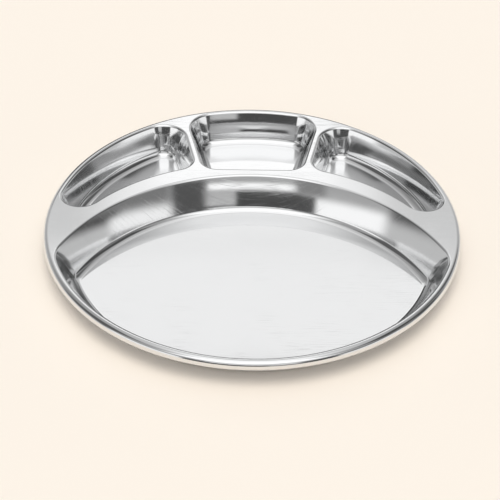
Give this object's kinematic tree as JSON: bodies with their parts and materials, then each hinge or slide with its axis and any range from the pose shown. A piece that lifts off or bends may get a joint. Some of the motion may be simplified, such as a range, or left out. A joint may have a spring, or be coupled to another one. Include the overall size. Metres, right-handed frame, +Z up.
{
  "type": "compartment thali plate",
  "caption": "Round stainless steel thali plate with a large well in front, smaller wells behind it and a rolled rim.",
  "frame": {"origin": "middle of the plate at table height", "axes": "+Z up; -Y towards the large well, which faces the person eating; +X to that person's right"},
  "size_m": [0.33, 0.33, 0.027],
  "materials": {
    "steel": "polished to a near mirror, with fine wiping and stacking scratches"
  },
  "bodies": {
    "root": {"pressed_plate": "steel"}
  },
  "joints": []
}
